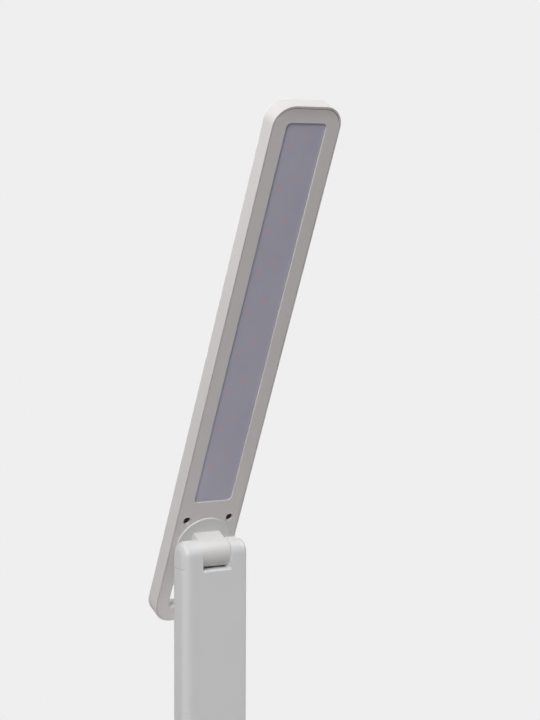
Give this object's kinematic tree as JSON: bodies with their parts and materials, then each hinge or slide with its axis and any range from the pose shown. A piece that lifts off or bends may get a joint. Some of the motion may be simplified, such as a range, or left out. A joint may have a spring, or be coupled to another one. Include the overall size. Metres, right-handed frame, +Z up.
{
  "type": "folding led desk lamp",
  "caption": "Slim white desk lamp: a flat light bar with milky window and finger hole tilts and swivels on a hinged arm that folds down onto a low rounded base.",
  "frame": {"origin": "centre of the base's underside, on the surface the lamp stands on", "axes": "+Z up, -Y towards the front (the side the light faces), +X to the right seen from the front"},
  "size_m": [0.11, 0.1842, 0.5389],
  "materials": {
    "white_plastic": "fine matt moulded white plastic",
    "milky_diffuser": "translucent milky plastic, satin",
    "grey_rubber": "soft anti-slip rubber",
    "bright_steel": "zinc plated steel",
    "dark_screw_steel": "blackened screw steel",
    "nylon": "natural white nylon",
    "green_board": "lacquered circuit board",
    "white_board": "white lacquered circuit board",
    "white_frame": "reflective white plastic",
    "cell_foil": "silver-grey pouch foil",
    "black_plastic": "black moulded plastic",
    "wire_red": "insulated wire",
    "led_warm": "warm white LED phosphor",
    "led_cool": "cool white LED phosphor",
    "clear_lens": "clear light pipe"
  },
  "bodies": {
    "base": {"base_pad": "grey_rubber", "base_plate": "white_plastic", "base_screws": "dark_screw_steel", "ballast": "bright_steel", "ballast_screws": "dark_screw_steel", "base_cover": "white_plastic", "hinge_tower": "white_plastic", "tower_screws": "dark_screw_steel", "battery": "cell_foil", "control_board": "green_board", "charge_socket": "bright_steel", "button_board": "green_board", "switch_body": "black_plastic", "board_screws": "dark_screw_steel", "base_wires": "wire_red", "indicator_lens": "clear_lens"},
    "button": {"power_button": "white_plastic", "switch_plunger": "black_plastic"},
    "arm": {"arm_shell": "white_plastic", "arm_cover": "white_plastic", "arm_screws": "dark_screw_steel", "arm_wire": "wire_red", "upper_cap_left": "white_plastic", "upper_cap_right": "white_plastic", "lower_cap_left": "white_plastic", "lower_cap_right": "white_plastic", "upper_pin": "bright_steel", "upper_nut": "bright_steel", "upper_spring_washer": "dark_screw_steel", "upper_friction_washers": "nylon", "lower_pin": "bright_steel", "lower_nut": "bright_steel", "lower_spring_washer": "dark_screw_steel", "lower_friction_washers": "nylon"},
    "knuckle": {"hinge_knuckle": "white_plastic", "swivel_washer": "nylon", "swivel_retainer": "bright_steel", "swivel_screws": "dark_screw_steel"},
    "head": {"head_shell": "white_plastic", "head_bezel": "white_plastic", "diffuser": "milky_diffuser", "light_frame": "white_frame", "led_board": "white_board", "warm_leds": "led_warm", "cool_leds": "led_cool", "head_screws": "dark_screw_steel", "head_wire": "wire_red"}
  },
  "joints": [
    {"name": "arm_fold", "type": "hinge", "parent": "base", "child": "arm", "pos_m": [0, 0.056, 0.0395], "axis": [1, 0, 0], "range_deg": [0, 90]},
    {"name": "head_tilt", "type": "hinge", "parent": "arm", "child": "knuckle", "pos_m": [0, 0.056, 0.3075], "axis": [1, 0, 0], "range_deg": [-25.4, 154.6]},
    {"name": "head_swivel", "type": "hinge", "parent": "knuckle", "child": "head", "pos_m": [0, 0.06447, 0.31152], "axis": [0, -0.9033, -0.4289], "range_deg": [-90, 90]},
    {"name": "button_press", "type": "slide", "parent": "base", "child": "button", "axis": [0, 0, -1], "range_m": [0, 0.0008], "stiffness_N_per_m": 1800, "springref_m": -0.0003}
  ]
}
